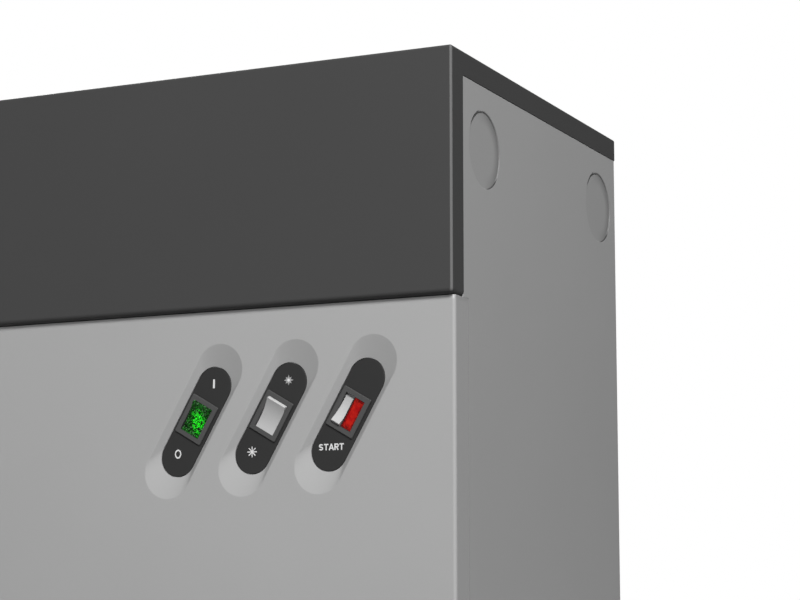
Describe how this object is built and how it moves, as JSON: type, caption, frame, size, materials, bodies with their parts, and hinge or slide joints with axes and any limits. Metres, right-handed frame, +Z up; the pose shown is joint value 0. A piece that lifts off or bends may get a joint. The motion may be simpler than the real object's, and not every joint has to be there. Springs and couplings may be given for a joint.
{
  "type": "heat pump",
  "caption": "Floor-standing indoor heat pump in a sheet-metal cabinet with a dark hood, pull-off front panel, slanted rocker switches, refrigerant circuit, pumps and rear water connections.",
  "frame": {"origin": "centre of the underside of the whole box, on the floor under the feet", "axes": "+Z up, front with the switches faces -Y, water connections leave towards +Y, +X to the right seen from the front"},
  "size_m": [0.6, 0.37, 1],
  "materials": {
    "hood_paint": "satin dark grey powder coat",
    "cabinet_paint": "satin light grey powder coat",
    "galvanised": "spangled zinc",
    "rubber": "moulded black rubber",
    "plate_plastic": "fine moulded dark grey",
    "switch_plastic": "fine moulded mid grey",
    "green_rocker": "lit translucent green",
    "light_rocker": "smooth light grey",
    "red_lens": "translucent red",
    "tab_brass": "tinned brass blades",
    "clear_cover": "clear polycarbonate",
    "device_plastic": "moulded dark grey",
    "terminal_plastic": "moulded pale grey",
    "armature_plastic": "moulded red",
    "board": "green solder mask",
    "can_aluminium": "drawn can",
    "gland_plastic": "black nylon",
    "compressor_paint": "gloss black enamel",
    "motor_steel": "laminated steel",
    "shaft_steel": "ground steel",
    "exchanger_steel": "pressed stainless steel",
    "copper": "drawn copper tube",
    "valve_brass": "forged brass",
    "coil_plastic": "moulded blue",
    "drier_paint": "blue enamel",
    "pump_iron": "red enamelled casting",
    "pump_motor": "dark grey enamelled casting",
    "impeller_plastic": "glass-filled plastic on steel"
  },
  "bodies": {
    "cabinet": {"base_tray": "galvanised", "rubber_feet": "rubber", "left_side_panel": "cabinet_paint", "right_side_panel": "cabinet_paint", "rear_panel": "cabinet_paint", "top_hood": "hood_paint", "panel_screws": "shaft_steel", "switch_console": "galvanised", "power_plate": "plate_plastic", "mode_plate": "plate_plastic", "start_plate": "plate_plastic", "power_switch_body": "switch_plastic", "mode_switch_body": "switch_plastic", "start_switch_body": "switch_plastic", "start_lamp_lens": "red_lens", "switch_tabs": "tab_brass", "electrics_tray": "galvanised", "electrics_cover": "clear_cover", "din_rail": "galvanised", "contactor_body": "device_plastic", "control_board": "board", "run_capacitor": "can_aluminium", "terminal_strip": "terminal_plastic", "cable_glands": "gland_plastic", "compressor_shell": "compressor_paint", "terminal_cover": "device_plastic", "compressor_grommets": "rubber", "compressor_stator": "motor_steel", "suction_accumulator": "compressor_paint", "load_exchanger": "exchanger_steel", "source_exchanger": "exchanger_steel", "reversing_valve": "valve_brass", "reversing_coil": "coil_plastic", "expansion_valve": "valve_brass", "filter_drier": "drier_paint", "discharge_line": "copper", "suction_line": "copper", "load_gas_line": "copper", "source_gas_line": "copper", "liquid_line": "copper", "feed_line": "copper", "load_pump_volute": "pump_iron", "load_pump_motor": "pump_motor", "source_pump_volute": "pump_iron", "source_pump_motor": "pump_motor", "load_flow_pipe": "copper", "load_return_pipes": "copper", "source_flow_pipe": "copper", "source_return_pipes": "copper", "wiring_leads": "gland_plastic"},
    "front_panel": {"front_panel": "cabinet_paint"},
    "power_rocker": {"power_rocker": "green_rocker"},
    "mode_rocker": {"mode_rocker": "light_rocker"},
    "start_rocker": {"start_rocker": "light_rocker"},
    "compressor_rotor": {"compressor_rotor": "shaft_steel"},
    "load_pump_rotor": {"load_pump_rotor": "impeller_plastic"},
    "source_pump_rotor": {"source_pump_rotor": "impeller_plastic"},
    "reversing_slide": {"reversing_slide": "impeller_plastic"},
    "expansion_needle": {"expansion_needle": "shaft_steel"},
    "contactor_armature": {"contactor_armature": "armature_plastic"}
  },
  "joints": [
    {"name": "front_panel_pull", "type": "slide", "parent": "cabinet", "child": "front_panel", "axis": [0, -1, 0], "range_m": [0, 0.4]},
    {"name": "power_rocker_tilt", "type": "hinge", "parent": "cabinet", "child": "power_rocker", "pos_m": [0.08284, -0.1705, 0.73358], "axis": [-0.866, 0, 0.5], "range_deg": [0, 20]},
    {"name": "mode_rocker_tilt", "type": "hinge", "parent": "cabinet", "child": "mode_rocker", "pos_m": [0.14734, -0.1705, 0.73358], "axis": [-0.866, 0, 0.5], "range_deg": [0, 20]},
    {"name": "start_rocker_press", "type": "hinge", "parent": "cabinet", "child": "start_rocker", "pos_m": [0.21184, -0.1705, 0.73358], "axis": [0.866, 0, -0.5], "range_deg": [0, 20], "stiffness_Nm_per_rad": 0.06, "springref_deg": -11.46},
    {"name": "compressor_spin", "type": "hinge", "parent": "cabinet", "child": "compressor_rotor", "pos_m": [-0.195, 0.0526, 0.1635], "axis": [0, 0, 1], "continuous": true},
    {"name": "load_pump_spin", "type": "hinge", "parent": "cabinet", "child": "load_pump_rotor", "pos_m": [0.1204, -0.0474, 0.3], "axis": [0, 1, 0], "continuous": true},
    {"name": "source_pump_spin", "type": "hinge", "parent": "cabinet", "child": "source_pump_rotor", "pos_m": [0.2404, -0.0474, 0.3], "axis": [0, 1, 0], "continuous": true},
    {"name": "reversing_shift", "type": "slide", "parent": "cabinet", "child": "reversing_slide", "axis": [1, 0, 0], "range_m": [0, 0.03]},
    {"name": "expansion_travel", "type": "slide", "parent": "cabinet", "child": "expansion_needle", "axis": [0, 0, 1], "range_m": [0, 0.001], "stiffness_N_per_m": 800, "springref_m": -0.001},
    {"name": "contactor_pull_in", "type": "slide", "parent": "cabinet", "child": "contactor_armature", "axis": [0, 1, 0], "range_m": [0, 0.003], "stiffness_N_per_m": 300, "springref_m": -0.002}
  ]
}
